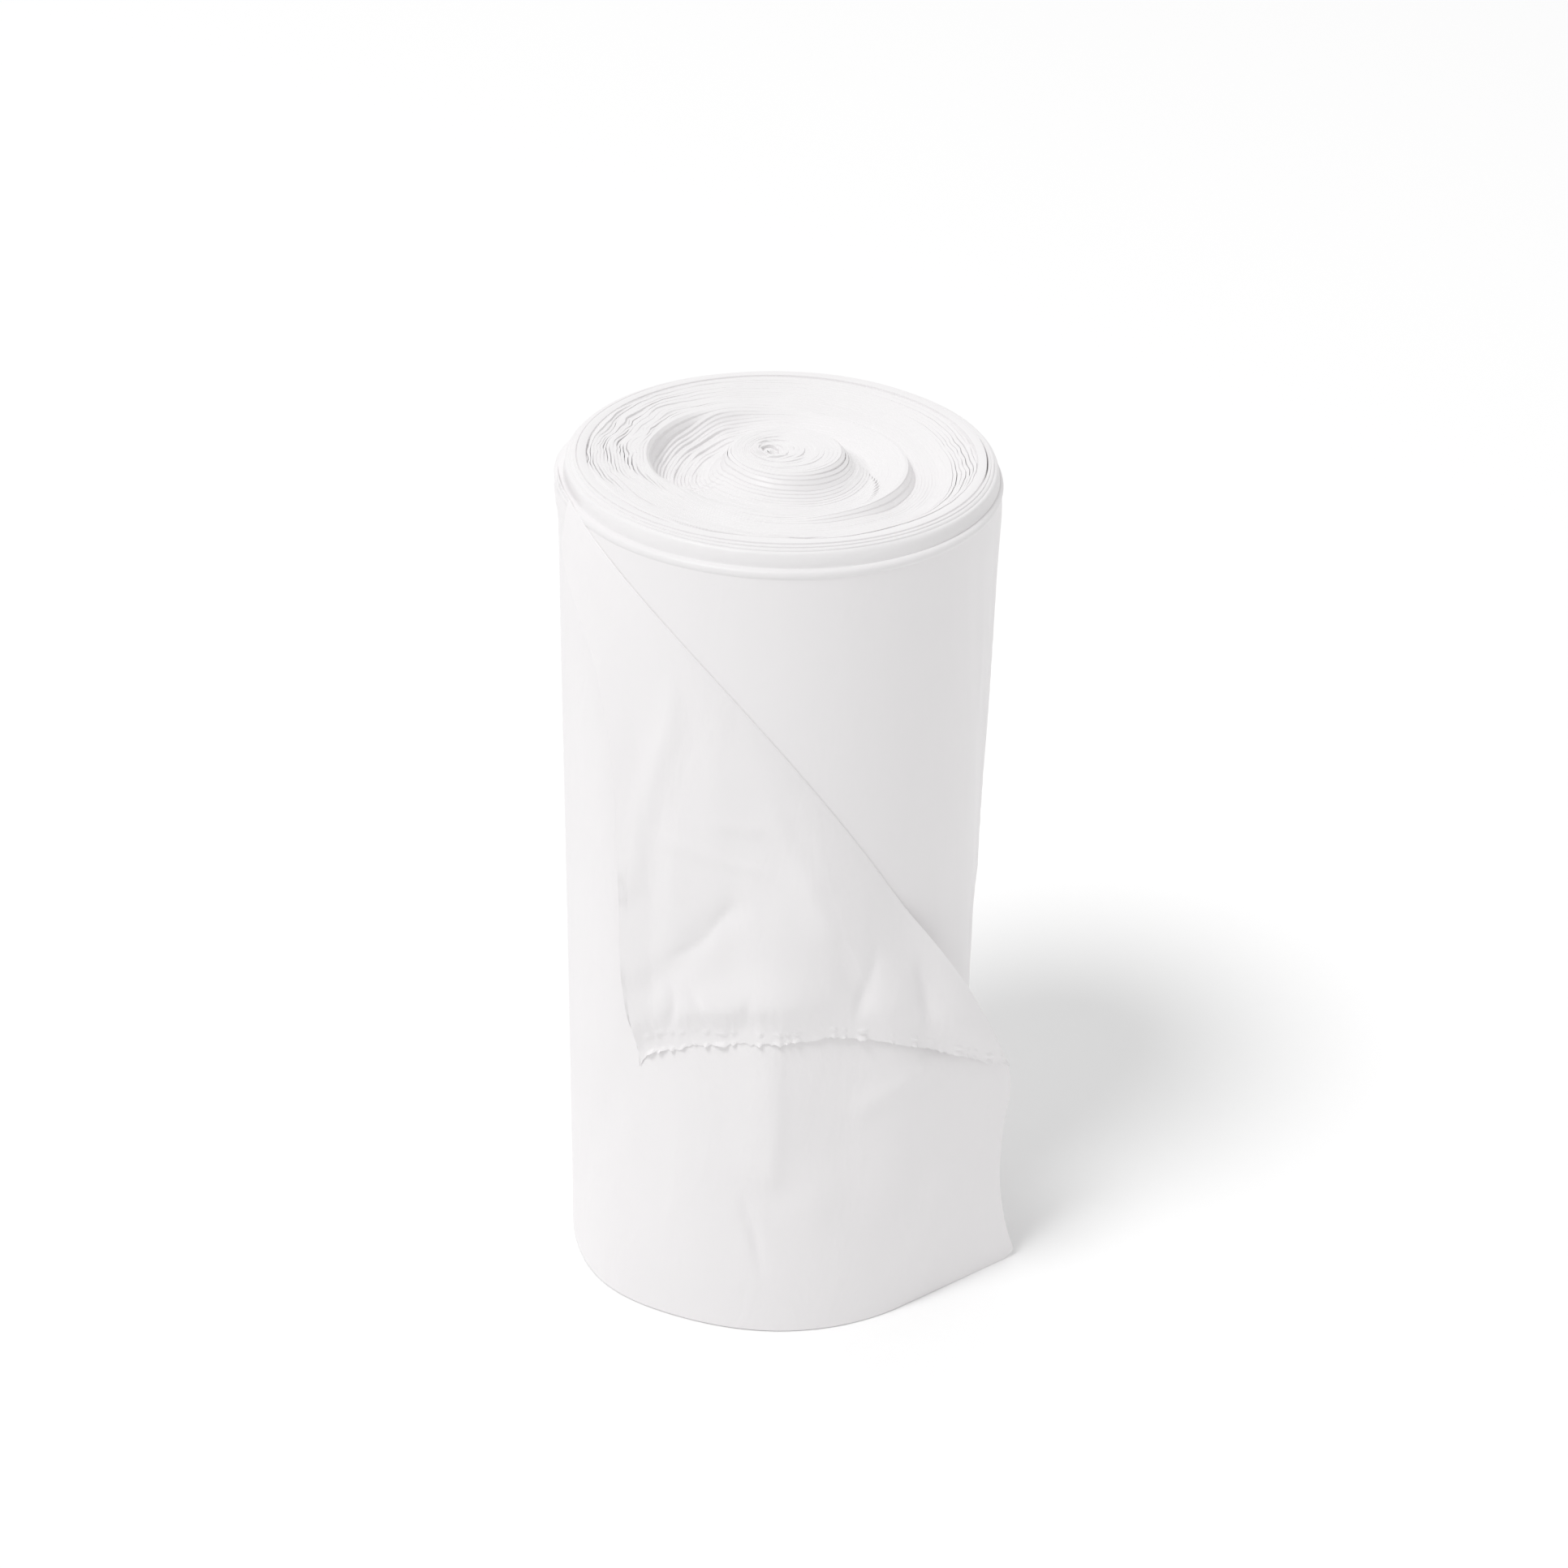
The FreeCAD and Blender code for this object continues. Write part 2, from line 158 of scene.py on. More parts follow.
def hump(value, middle, width):
    """1 at the middle and falling off smoothly on both sides."""
    return np.exp(-((value - middle) / width) ** 2)


def towards(degrees, middle, reach):
    """1 in one direction round the roll and falling off smoothly on both sides."""
    return hump((degrees - middle + 180.0) % 360.0 - 180.0, 0.0, reach)


def rise(value, start, stop):
    """0 before start, 1 after stop, smooth between."""
    share = np.clip((value - start) / (stop - start), 0.0, 1.0)
    return share * share * (3 - 2 * share)


def grid_faces(rows, columns, closed):
    """Quads between the points of a grid, numbered row by row. If closed, its columns run all round."""
    faces = []
    for row in range(rows - 1):
        for column in range(columns if closed else columns - 1):
            beside = (column + 1) % columns
            faces.append((row * columns + column, row * columns + beside,
                          (row + 1) * columns + beside, (row + 1) * columns + column))
    return faces


def film_piece(name, points, faces, material, sharp):
    """A piece of the roll from points in millimetres. Edges bent by more than sharp stay sharp."""
    mesh = bpy.data.meshes.new(name)
    mesh.from_pydata((np.asarray(points) * MM).tolist(), [], faces)
    shell = bmesh.new()
    shell.from_mesh(mesh)
    bmesh.ops.dissolve_degenerate(shell, dist=1e-7, edges=shell.edges)
    shell.to_mesh(mesh)
    shell.free()
    mesh.polygons.foreach_set("use_smooth", [True] * len(mesh.polygons))
    mesh.set_sharp_from_angle(angle=math.radians(sharp))
    mesh.materials.append(material)
    piece = bpy.data.objects.new(name, mesh)
    bpy.context.collection.objects.link(piece)
    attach(piece, "root")
    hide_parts("bag_roll")


roll_low, roll_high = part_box("bag_roll")
wall_radius = -roll_low.x / MM
middle_rise = 0.7
lip_drop = 5.0
lip_height = roll_high.z / MM - middle_rise - lip_drop
foot_bevel = 0.9
lip_bevel = 0.35
lip_depth = 1.6
web_height = 205.0
side_inset = 0.55
foot_inset = 2.5
film_colour = (0.91, 0.893, 0.899)
wall_film = film_finish("wall_film", film_colour, (60.0, 60.0, 14.0), 0.0004)

wall_columns = 320
wall_rows = 150
turn = np.linspace(0.0, 2 * np.pi, wall_columns, endpoint=False)
bevel_start = lip_height - 0.3
heights = np.concatenate([[0.0], np.linspace(foot_bevel, bevel_start, wall_rows), [lip_height]])
around, level = np.meshgrid(turn, heights)
degrees = np.degrees(around)
# Slack creases stand up and down the right-hand side, where the turn isn't drawn tight
slack = towards(degrees, 84.0, 24.0) * rise(level, 20.0, 70.0) * (1 - 0.5 * rise(level, 185.0, 204.0))
tilted = degrees + 0.16 * level
creases = 1 - np.abs(noise(tilted / 7.0, level / 46.0, 11)) * 2
creases += 0.6 * (1 - np.abs(noise(tilted / 3.6, level / 23.0, 12)) * 2)
gentle = noise(level / 80.0, degrees / 40.0, 13, 9)
bulge = 0.30 * slack * creases + 0.08 * gentle
bulge *= rise(level, 0.0, 6.0) * (1 - rise(level, lip_height - 7.0, lip_height - 1.5))
bevelled = np.where(level == 0.0, foot_bevel, 0.0) + np.where(level == lip_height, lip_bevel, 0.0)


def right_inset(degrees):
    """How far the right side of the roll stands inside its box."""
    return side_inset * towards(degrees, 92.0, 60.0)


def left_inset(degrees, level):
    """How far the left side is drawn in, which it is more and more towards the foot."""
    return foot_inset * (1 - level / web_height) * towards(degrees, 268.0, 22.0)


radius = wall_radius - bevelled - right_inset(degrees) - left_inset(degrees, level) + bulge
wall_points = np.stack([radius * np.sin(around), -radius * np.cos(around), level], -1).reshape(-1, 3)
wall_faces = grid_faces(len(heights), wall_columns, True)

# The lower end: a faint spiral of turns that stand in by half a millimetre
base_rings = 32
base_gap = 0.6
base_recess = 0.5
base_radius = wall_radius - foot_bevel - base_gap - right_inset(degrees[0]) - left_inset(degrees[0], 0.0)
base_points = [wall_points[:wall_columns]]
for ring in range(base_rings):
    ring_radius = base_radius * (1 - ring / base_rings)
    recess = np.full(wall_columns, base_recess * (ring % 4 in (1, 2)))
    base_points.append(np.stack([ring_radius * np.sin(turn), -ring_radius * np.cos(turn), recess], -1))
base_points = np.concatenate(base_points)
base_start = len(wall_points)
base_faces = [tuple(base_start + number for number in reversed(face))
              for face in grid_faces(base_rings + 1, wall_columns, True)]
centre_point = base_start + len(base_points)
last_ring = centre_point - wall_columns
closing_faces = [(centre_point, last_ring + (column + 1) % wall_columns, last_ring + column)
                 for column in range(wall_columns)]
# The upper edge turns in over the turns behind it
inner_edge = wall_points[-wall_columns:].copy()
inner_edge[:, :2] *= (wall_radius - lip_depth) / (wall_radius - lip_bevel)
edge_start = centre_point + 1
top_ring = len(wall_points) - wall_columns
edge_faces = [(top_ring + column, top_ring + (column + 1) % wall_columns,
               edge_start + (column + 1) % wall_columns, edge_start + column)
              for column in range(wall_columns)]
all_points = np.concatenate([wall_points, base_points, [[0.0, 0.0, 0.0]], inner_edge])
all_faces = wall_faces + base_faces + closing_faces + edge_faces
film_piece("wound_wall", all_points, all_faces, wall_film, sharp=40)

# Upper end of the roll: the cut edges of several hundred plies of folded film, which show as bundles. They
# stand up in the middle, lie lower round it, and the slack ones on the left are crumpled and split.
# The end's film is the wall's film made a little darker: painted shade for the fine gaps between the cut
# edges of the bundles, which also brings the top, that the lamp lights more, down in tone.
end_film_painted_shade = film_finish("end_film_painted_shade", (0.882, 0.868, 0.873), (90.0, 90.0, 260.0), 0.00025)

# Heights of the end above its lowest level, from the middle outwards, in directions that go round from the
# front by the right: where the raised middle ends, its flank, its foot, the disc and its cliff, the ring
end_floor = 200.0
end_radii = [0.0, 12.4, 13.7, 15.2, 17.4, 19.8, 24.0, 26.6, 28.4, 30.2, 35.5, 41.5, 43.2, 45.8]
directions = [0, 30, 60, 90, 135, 180, 210, 235, 258, 274, 286, 298, 308, 330]
end_levels = [
    [10.2, 10.3, 9.2, 7.4, 5.9, 5.3, 6.1, 7.0, 6.6, 6.5, 6.9, 8.6, 9.4, 8.7],
    [10.2, 10.3, 9.0, 7.0, 5.5, 4.9, 6.0, 6.9, 7.3, 6.0, 6.2, 8.3, 9.3, 8.7],
    [10.2, 10.3, 8.8, 7.0, 5.4, 4.8, 6.0, 6.9, 7.6, 4.6, 4.9, 7.7, 9.2, 8.7],
    [10.2, 10.3, 8.8, 7.0, 5.4, 4.7, 6.1, 6.9, 7.6, 4.0, 4.3, 7.4, 9.1, 8.7],
    [10.2, 10.3, 9.2, 7.2, 5.6, 4.8, 5.9, 6.7, 7.3, 5.8, 6.1, 8.0, 9.2, 8.7],
    [10.2, 10.3, 9.4, 7.4, 5.8, 4.9, 5.6, 6.6, 7.3, 7.2, 7.6, 8.9, 9.3, 8.7],
    [10.2, 10.3, 9.4, 7.0, 5.0, 4.0, 4.6, 6.4, 8.3, 8.4, 8.5, 9.1, 9.4, 8.7],
    [10.2, 10.3, 9.3, 6.6, 4.0, 2.8, 3.0, 3.9, 5.6, 8.9, 9.1, 9.3, 9.5, 8.7],
    [10.2, 10.3, 9.3, 6.4, 3.6, 2.2, 2.2, 2.9, 4.2, 9.0, 9.2, 9.4, 9.5, 8.7],
    [10.2, 10.3, 9.3, 6.4, 3.8, 2.4, 2.3, 3.0, 4.8, 9.1, 9.2, 9.4, 9.5, 8.7],
    [10.2, 10.3, 9.4, 6.8, 4.4, 3.2, 2.9, 3.6, 6.2, 9.0, 9.1, 9.4, 9.5, 8.7],
    [10.2, 10.3, 9.6, 7.4, 5.4, 4.4, 4.2, 5.0, 8.2, 8.8, 8.9, 9.3, 9.5, 8.7],
    [10.2, 10.3, 9.6, 7.8, 6.2, 5.6, 6.0, 7.9, 8.3, 8.4, 8.5, 9.2, 9.5, 8.7],
    [10.2, 10.3, 9.4, 7.6, 6.2, 5.6, 6.6, 7.3, 7.4, 7.4, 7.5, 9.0, 9.4, 8.7],
]


def end_level(radius, degrees):
    """Height of the upper end above its lowest level, at some radii and directions."""
    rounds = np.array(directions + [360])
    after = np.clip(np.searchsorted(rounds, degrees % 360, side="right"), 1, len(directions))
    near, far = rounds[after - 1], rounds[after]
    blend = rise(degrees % 360, near, far)
    profiles = np.array([np.interp(radius, end_radii, levels) for levels in end_levels])
    profiles = np.concatenate([profiles, profiles[:1]])
    each = np.arange(len(radius))
    return profiles[after - 1, each] * (1 - blend) + profiles[after, each] * blend


turn_steps = 512
turns = 58
last_step = turns * turn_steps
eye_radius = 0.1
rim_radius = 46.0
bundle = (rim_radius - eye_radius) / (turns + 1)
groove = bundle * 0.10
edge_drop = 0.03
first_direction = math.radians(205.0)
step = np.arange(last_step + 1)
wound = step * 2 * np.pi / turn_steps + first_direction
degrees = np.degrees(wound) % 360
inner = eye_radius + bundle * step / turn_steps
centre = inner + bundle / 2
left_side = towards(degrees, 256.0, 42.0)
crumpled = left_side * rise(centre, 30.5, 35.0)
crumpled += 0.6 * towards(degrees, 98.0, 30.0) * rise(centre, 35.0, 41.0)
crumpled += 0.3 * towards(degrees, 0.0, 50.0) * rise(centre, 38.0, 41.0)
staircase = left_side * rise(centre, 17.0, 21.0) * (1 - rise(centre, 28.0, 30.0))
uneven = 0.04 + 0.36 * crumpled + 0.42 * staircase + 0.02 * rise(13.0 - np.abs(centre - 16.0), 9.0, 12.0)
uneven += 0.08 * towards(degrees, 200.0, 40.0)
level_here = end_level(centre, degrees)
top = level_here + uneven * noise(wound * 1.6, 0.5, 21)
top += 0.6 * uneven * noise(wound * 5.2, 0.5, 22)
top += 0.35 * hump(centre, 0.0, 9.0) * noise(wound * 1.3, 0.5, 23)
top += 0.55 * hump(centre, 4.2, 2.2) * noise(centre / 1.3, degrees / 36.0, 25, 10)
# The hole between the innermost turns
top -= 2.3 * (1 - rise(centre, 1.9, 3.1)) * (0.7 + 0.3 * np.cos(wound))
# A small ledge runs out from the foot of the middle on the right
ledge_radius = 22.3 - 0.17 * (degrees - 72.0)
ledge = rise(ledge_radius + 0.6 - centre, 0.0, 1.3) * rise(centre, 15.4, 17.0)
top += 0.6 * ledge * towards(degrees, 78.0, 24.0)
# How deep the seams between the bundles are
valley = 0.07 - 0.05 * towards(degrees, 338.0, 34.0) * rise(centre, 41.0, 43.0)
valley += 0.9 * uneven * (0.5 + 0.5 * noise(wound * 2.3, 0.5, 24)) ** 2
# Splits between turns: radius at the middle of its length, direction, drift a degree, reach, depth
cracks = [
    (36.0, 262.0, -0.10, 26.0, 4.0), (44.5, 266.0, -0.115, 22.0, 3.0), (40.2, 258.0, -0.09, 20.0, 2.2),
    (31.8, 242.0, -0.05, 12.0, 1.6), (43.2, 345.0, 0.0, 22.0, 0.7), (43.6, 36.0, 0.0, 30.0, 0.6),
    (41.0, 10.0, 0.2, 8.0, 0.9), (44.4, 97.0, 0.0, 14.0, 2.4), (42.0, 92.0, 0.0, 24.0, 1.6),
    (39.6, 88.0, 0.0, 26.0, 1.0), (13.2, 80.0, 0.0, 40.0, 0.6), (13.4, 262.0, 0.0, 18.0, 0.8),
]
for crack_radius, crack_degrees, drift, reach, depth in cracks:
    beyond_middle = (degrees - crack_degrees + 180.0) % 360.0 - 180.0
    path = crack_radius + drift * beyond_middle
    depth_here = depth * hump(beyond_middle, 0.0, reach)
    top -= 0.22 * depth_here * hump(inner, path, 1.1)
    valley += depth_here * hump(inner, path, 0.62)


def end_point(radius, level):
    """Points of the upper end, with the bundles' sideways slack. The raised middle is off centre."""
    from_back = (degrees - 180.0) % 360.0 + 180.0
    sway = 1.4 * crumpled * noise(from_back / 12.0, radius / 6.0, 31)
    sway += 0.45 * crumpled * noise(from_back / 4.0, radius / 2.6, 32)
    sway += 0.12 * noise(radius / 9.0, degrees / 36.0, 33, 10) * rise(radius, 4.0, 12.0)
    sway *= 1 - rise(radius, 43.0, 45.5)
    squashed = 1 + 0.22 * np.sin(2 * wound + 0.9) * hump(radius, 1.0, 2.6)
    spread = (radius + sway) * squashed
    off_centre = hump(radius, 0.0, 7.0)
    x = spread * np.sin(wound) + 1.3 * hump(radius, 13.0, 7.0) - 3.0 * off_centre
    y = -spread * np.cos(wound) + 0.6 * off_centre
    return np.stack([x, y, end_floor + level], -1)


slanted = 0.8 * (1 - staircase)
seam_level = top - valley + slanted * (end_level(inner, degrees) - level_here)
near_level = top - edge_drop + slanted * (end_level(inner + groove, degrees) - level_here)
far_level = top + slanted * (end_level(inner + bundle - groove, degrees) - level_here)
# The innermost bundle reaches to the middle, so that the eye is closed below
seam = end_point(np.where(step < turn_steps, 0.02 * inner, inner), seam_level)
near_edge = end_point(inner + groove, near_level)
far_edge = end_point(inner + bundle - groove, far_level)
end_points = np.stack([seam, near_edge, far_edge], 1).reshape(-1, 3)
end_faces = []
for i in range(last_step):
    here, ahead, outward = 3 * i, 3 * (i + 1), 3 * (i + turn_steps)
    end_faces.append((here, here + 1, ahead + 1, ahead))
    end_faces.append((here + 1, here + 2, ahead + 2, ahead + 1))
    if i + turn_steps < last_step:
        end_faces.append((here + 2, outward, outward + 3, ahead + 2))
film_piece("wound_end", end_points, end_faces, end_film_painted_shade, sharp=18)

# Shoulder: the outermost turns at the upper end, whose edges are drawn in over the rim one after the
# other and show as a stagger of thin plies above the lip of the last full turn.
shoulder_columns = 512
turn = np.linspace(0.0, 2 * np.pi, shoulder_columns, endpoint=False)
degrees = np.degrees(turn)
step_radius = 49.4
split_number = 4
# Radii and heights above the end's lowest level, from the inside over the edge and down to the lip
shoulder_profile = [
    (43.9, 8.6), (44.2, 9.5), (45.3, 9.7), (46.1, 9.6), (46.25, 9.2), (46.45, 9.45), (47.0, 9.35),
    (47.1, 9.05), (47.5, 9.05), (47.85, 8.85), (47.92, 8.55), (48.3, 8.45), (48.62, 8.15), (48.8, 7.7),
    (48.95, 7.1), (49.05, 6.4), (49.15, 5.7), (49.25, 5.2), (49.5, 5.0), (49.95, 4.95), (50.35, 4.8),
    (50.62, 4.5), (50.75, 4.0), (50.65, 3.4), (50.3, 2.8),
]
shoulder_points = []
for number, (radius, level) in enumerate(shoulder_profile):
    free = math.sin(math.pi * number / (len(shoulder_profile) - 1))
    wave = 0.22 * free * noise(number / 3.0, degrees / 360 * 11, 42, 11)
    wave -= 1.7 * towards(degrees, 91.0, 9.0) * (number == split_number)
    sway = 0.16 * free * noise(number / 3.0, degrees / 360 * 17, 43, 17)
    sway -= right_inset(degrees) * (radius > step_radius)
    sway += 0.8 * towards(degrees, 264.0, 15.0) * (radius > step_radius)
    shoulder_points.append(np.stack([(radius + sway) * np.sin(turn), -(radius + sway) * np.cos(turn),
                                     end_floor + level + wave], -1))
shoulder_points = np.array(shoulder_points).reshape(-1, 3)
shoulder_faces = [tuple(reversed(face))
                  for face in grid_faces(len(shoulder_profile), shoulder_columns, True)]
# The shoulder's plies take the end's darker film, with its painted shade between the cut edges.
film_piece("shoulder", shoulder_points, shoulder_faces, end_film_painted_shade, sharp=50)

# Loose end: the last turn of the folded web leaves the roll on the left, runs slack round the front and
# ends in a straight wing. Its upper corner is folded down across the front, torn at the perforations.
loose_film = film_finish("loose_film", film_colour, (70.0, 70.0, 26.0), 0.0005)
wrap_centre = (3.6, -0.6)
wrap_radius = 53.6
wing_turn = math.radians(36.5)
wing_length = 36.0
wrap_start = math.radians(171.0)
wrap_length = (1.5 * math.pi + wing_turn - wrap_start) * wrap_radius


def wrap_point(run, out):
    """Place in plan of a point of the loose end: run is counted from where the wing leaves the arc, and
    out is how far the point lies outside the web."""
    angle = 1.5 * math.pi + wing_turn + np.minimum(run, 0.0) / wrap_radius
    reach = wrap_radius + out
    x = wrap_centre[0] + reach * np.cos(angle) + np.maximum(run, 0.0) * math.cos(wing_turn)
    y = wrap_centre[1] + reach * np.sin(angle) + np.maximum(run, 0.0) * math.sin(wing_turn)
    return x, y


def arc_at(value, start, stop, radius, side):
    """Second coordinate of the arc from start to stop at some values of the first."""
    (a, b), (c, d) = start, stop
    length = math.hypot(c - a, d - b)
    away = math.sqrt(radius ** 2 - length ** 2 / 4) * side
    middle_a, middle_b = (a + c) / 2 - (d - b) / length * away, (b + d) / 2 + (c - a) / length * away
    half = np.sqrt(np.maximum(radius ** 2 - (value - middle_a) ** 2, 0.0))
    sign = 1.0 if (b + d) / 2 > middle_b else -1.0
    return middle_b + sign * half


wing_tip = wrap_point(wing_length, 0.0)[0]
# Places in the front view, across and up: the wing's upright edge, the fold, the tear and the flap's side
knuckle = (58.4, 63.0)
hip = (59.9, 46.5)
hollow_radius = 100.0
bulge_radius = 32.0
corner_rounding = 2.2
fold_start = (-46.4, 206.0)
fold_radius = 312.0
tear_line = [(-29.4, 72.6), (-26.0, 75.3), (-18.0, 80.2), (-11.0, 82.5), (-5.0, 84.0), (3.0, 85.3),
             (9.0, 85.7), (15.0, 85.9), (20.0, 85.3), (26.0, 83.6), (30.0, 81.8), (38.0, 76.9),
             (46.4, 70.9), (53.0, 65.8), (58.4, 62.0)]
corner = tear_line[0]
flap_left = [(-47.6, 206.5), (-46.5, 194.0), (-43.5, 187.0), (-40.4, 181.0), (-37.5, 173.5), (-34.5, 160.0),
             (-32.5, 145.0), (-31.0, 124.0), (-30.6, 110.0), (-30.1, 97.0), (-29.9, 88.0), (-29.6, 79.0),
             (-29.4, 70.0)]
flap_start = flap_left[1][0]

left_levels = np.arange(60.0, 217.0)
left_across = np.interp(left_levels, [place[1] for place in reversed(flap_left)],
                        [place[0] for place in reversed(flap_left)])
smoothing = np.hanning(19)
without_ends = slice(10, -10)
left_across = np.convolve(left_across, smoothing / smoothing.sum(), "same")[without_ends]
left_levels = left_levels[without_ends]


def edge_across(level):
    """Where the upright edge of the wing lies in the front view, at some heights."""
    hollow = arc_at(level, (corner_rounding, wing_tip), hip[::-1], hollow_radius, 1)
    bulge = arc_at(level, hip[::-1], knuckle[::-1], bulge_radius, -1)
    below = np.maximum(corner_rounding - level, 0.0)
    foot = wing_tip - corner_rounding + np.sqrt(np.maximum(corner_rounding ** 2 - below ** 2, 0.0))
    return np.where(level < corner_rounding, foot, np.where(level < hip[1], hollow, bulge))


def fold_height(across):
    """Height of the long fold in the front view."""
    return arc_at(across, knuckle, fold_start, fold_radius, 1)


def run_at(across):
    """Run of the wing's points that show at some places across the front view."""
    start = wrap_centre[0] + wrap_radius * math.sin(wing_turn)
    return (across - start) / math.cos(wing_turn)


film_thickness = 0.12
warp_from = -12.0
# The columns stand closest where the fold starts, along the flap's left side and at the tear's corner
run_stops = [-wrap_length, -100.5, -74.5, -69.3, warp_from]
run_counts = [26, 55, 40, 112]
runs = np.concatenate([np.linspace(start, stop, count, endpoint=False)
                       for start, stop, count in zip(run_stops, run_stops[1:], run_counts)])
wing_columns = 86
shares = np.linspace(0.0, 1.0, wing_columns)
columns = len(runs) + len(shares)


def run_of(column, level):
    """Run of a column at a height: the columns of the wing follow its uneven upright edge."""
    if column < len(runs):
        return np.full_like(level, runs[column])
    share = shares[column - len(runs)]
    return warp_from + share * (run_at(edge_across(np.minimum(level, knuckle[1]))) - warp_from)


# Each column goes up the web, round the turned fold and down the flap to its torn edge
web_rows = 64
turn_rows = 7
flap_rows = 84
web_shares = np.linspace(0.0, 1.0, web_rows) ** 0.9
bend = np.linspace(0.0, np.pi, turn_rows)[1:-1]
flap_shares = 1.0 - (1.0 - np.linspace(0.0, 1.0, flap_rows)) ** 1.6
fold_bend = 0.09
tooth_pitch = 3.3
ear_height = 204.2
shortest_flap = 0.4
sheet_levels, sheet_outs = [], []
for column in range(columns):
    # In the wing the fold's height and the place across depend on each other, so they are found in turns
    crest = 100.0
    for attempt in range(12):
        across = wrap_point(run_of(column, crest), 0.0)[0]
        crest = fold_height(across) if across > fold_start[0] else fold_start[1]
        if column >= len(runs):
            crest = max(crest, knuckle[1])
    run = run_of(column, crest)
    across = wrap_point(run, 0.0)[0]
    folded = across > flap_start
    if across < fold_start[0]:
        # Left of the fold the web stands at full height, and bulges out into a small ear at the top
        crest = ear_height + 1.7 * rise(run, -wrap_length, -108.0)
    if across < corner[0]:
        lower = np.interp(across, left_across[::-1], left_levels[::-1])
    else:
        lower = np.interp(across, *zip(*tear_line))
        ragged = 1.0 - 0.6 * rise(across, -5.0, 30.0)
        tooth = max(0.0, 1.0 - abs((across / tooth_pitch) % 1.0 - 0.5) * 6.0)
        lower -= 1.6 * tooth * ragged * max(0.0, noise(across / 4.1, 0.5, 50))
        lower += 0.9 * ragged * noise(across / 2.3, 0.5, 51)
        lower += 0.5 * ragged * noise(across / 0.8, 0.5, 52)
        lower -= 3.0 * max(0.0, 1.0 - (across - corner[0]) / 1.3)
    lower = min(lower, crest - shortest_flap)
    bend_start = crest - fold_bend
    hang = bend_start - folded * flap_shares * (bend_start - lower)
    sheet_levels.append(np.concatenate([web_shares * bend_start,
                                        bend_start + fold_bend * np.sin(bend), hang]))
    sheet_outs.append(np.concatenate([np.zeros(web_rows), fold_bend * (1 - np.cos(bend)),
                                      np.full(flap_rows, 2 * fold_bend)]))

levels, outs = np.array(sheet_levels), np.array(sheet_outs)
rows = levels.shape[1]
sheet_runs = np.array([run_of(column, levels[column]) for column in range(columns)])
hanging = np.zeros(rows)
hanging[web_rows + turn_rows - 2:] = 1.0
under_fold = levels.max(axis=1, keepdims=True) - levels
edge_x = np.interp(levels, left_levels, left_across)
front_x = wrap_point(sheet_runs, 0.0)[0]
from_left = np.maximum(front_x - edge_x, 0.0)
on_tear = front_x > corner[0]
above_tear = np.where(on_tear, levels - levels[:, -1:], levels - corner[1])


def crease(start, stop, width, height):
    """A ridge along a line of the front view, over the columns and rows of the loose end."""
    way = np.subtract(stop, start)
    length = math.hypot(*way)
    along = ((front_x - start[0]) * way[0] + (levels - start[1]) * way[1]) / length
    beside = ((levels - start[1]) * way[0] - (front_x - start[0]) * way[1]) / length
    beside += 0.8 * noise(along / 9.0, start[0], 66)
    fading = rise(along, -3.0, 5.0) * (1 - rise(along, length - 5.0, length + 3.0))
    return height * hump(beside, 0.0, width) * fading


def puff(middle, reach, height):
    """A rounded swelling of the loose end."""
    return height * hump(front_x, middle[0], reach[0]) * hump(levels, middle[1], reach[1])


# Slack of the flap: it stands off below the fold, puffs out above the tear and has slanting creases
flap_puffs = [
    ((-12.0, 93.0), (7.0, 6.0), 2.0), ((3.0, 96.0), (11.0, 8.0), 2.0), ((32.0, 97.0), (7.0, 12.0), 2.0),
    ((44.0, 86.0), (5.0, 10.0), 1.6), ((8.0, 118.0), (13.0, 13.0), 1.2), ((-16.0, 142.0), (9.0, 20.0), 0.9),
]
flap_creases = [
    ((-29.3, 91.5), (-6.0, 123.0), 3.0, -0.7), ((-21.0, 84.0), (-21.5, 98.0), 1.2, -0.7),
    ((-21.0, 104.0), (-8.0, 121.0), 0.9, -0.35), ((-16.0, 98.0), (-13.0, 86.0), 1.3, -0.6),
    ((-2.0, 84.0), (-4.0, 98.0), 1.6, -0.6), ((21.5, 90.0), (25.0, 108.0), 1.6, -0.7),
    ((37.0, 82.0), (37.0, 101.0), 1.5, -0.9), ((-30.0, 120.0), (-22.0, 176.0), 2.4, 0.7),
    ((-26.0, 135.0), (1.0, 131.0), 1.2, 0.4), ((-15.0, 142.5), (0.0, 141.0), 1.0, 0.4),
    ((13.0, 128.0), (24.0, 92.0), 3.4, -0.7), ((0.0, 150.0), (16.0, 112.0), 3.0, 0.5),
]
flap_slack = 0.5 + sum(puff(*place) for place in flap_puffs) + sum(crease(*line) for line in flap_creases)
flap_slack += 0.35 * noise((sheet_runs + 0.7 * levels) / 19.0, (levels - sheet_runs) / 34.0, 61)
flap_slack += 0.3 * noise(sheet_runs / 5.0, levels / 40.0, 65) * hump(sheet_runs, -62.0, 16.0)
flap_slack *= rise(under_fold, 2.0, 24.0)
# The turned edge is soft: it takes some millimetres to round over. The side edge stands off the web
soft = np.clip(under_fold / 10.0, 0.0, 1.0)
flap_slack += 1.5 * np.sin(soft * np.pi / 2) * (1 - 0.7 * rise(under_fold, 10.0, 40.0))
side_lift = 3.3 * np.clip(1 - from_left / 22.0, 0.0, 1.0) ** 2
side_lift += 1.1 * np.clip(1 - from_left / 5.0, 0.0, 1.0)
side_lift *= rise(levels, 66.0, 98.0) * (1 - 0.55 * rise(levels, 125.0, 180.0))
flap_slack += side_lift * rise(under_fold, 3.0, 36.0)
